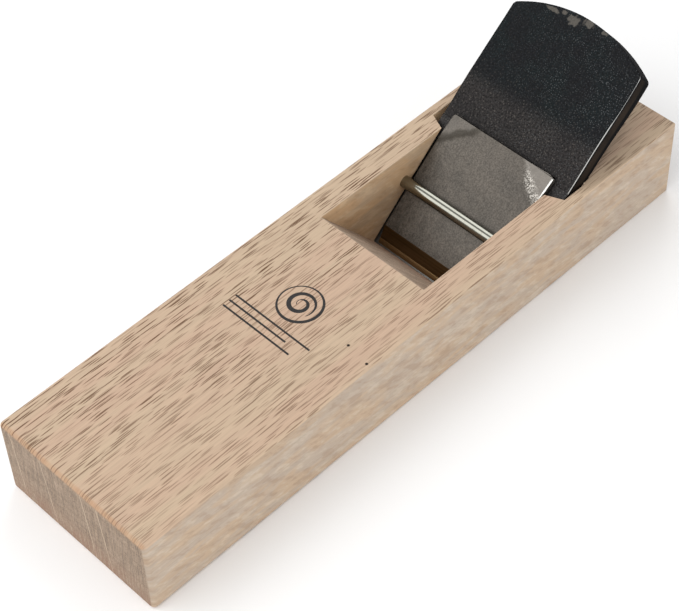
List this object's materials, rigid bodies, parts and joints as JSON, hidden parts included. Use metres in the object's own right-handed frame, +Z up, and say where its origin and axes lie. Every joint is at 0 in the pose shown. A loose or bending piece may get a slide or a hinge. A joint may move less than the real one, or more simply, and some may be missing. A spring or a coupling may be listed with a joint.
{
  "type": "hand plane",
  "caption": "Japanese pull-stroke smoothing plane: low oak block with a wedged laminated blade, chip breaker and cross pin.",
  "frame": {"origin": "centre of the sole, on the surface that the plane stands on", "axes": "+X along the block towards its leading end, +Y across the block, +Z up from the sole"},
  "size_m": [0.275, 0.076, 0.0752],
  "materials": {
    "oak": "planed, unfinished, satin",
    "polished_pin": "polished",
    "forge_black_iron": "black forge scale",
    "cutting_steel": "ground",
    "grey_iron": "blasted grey",
    "breaker_steel": "ground and polished"
  },
  "bodies": {
    "dai": {"dai_body": "oak", "retaining_pin": "polished_pin"},
    "blade": {"blade_iron": "forge_black_iron", "blade_cutting_steel": "cutting_steel"},
    "chip_breaker": {"chip_breaker_iron": "grey_iron", "chip_breaker_steel": "breaker_steel"}
  },
  "joints": [
    {"name": "blade_slide", "type": "slide", "parent": "dai", "child": "blade", "axis": [-0.7705, 0, 0.6374], "range_m": [-0.0006, 0.12]},
    {"name": "chip_breaker_slide", "type": "slide", "parent": "blade", "child": "chip_breaker", "axis": [-0.7705, 0, 0.6374], "range_m": [-0.0005, 0.06]}
  ]
}
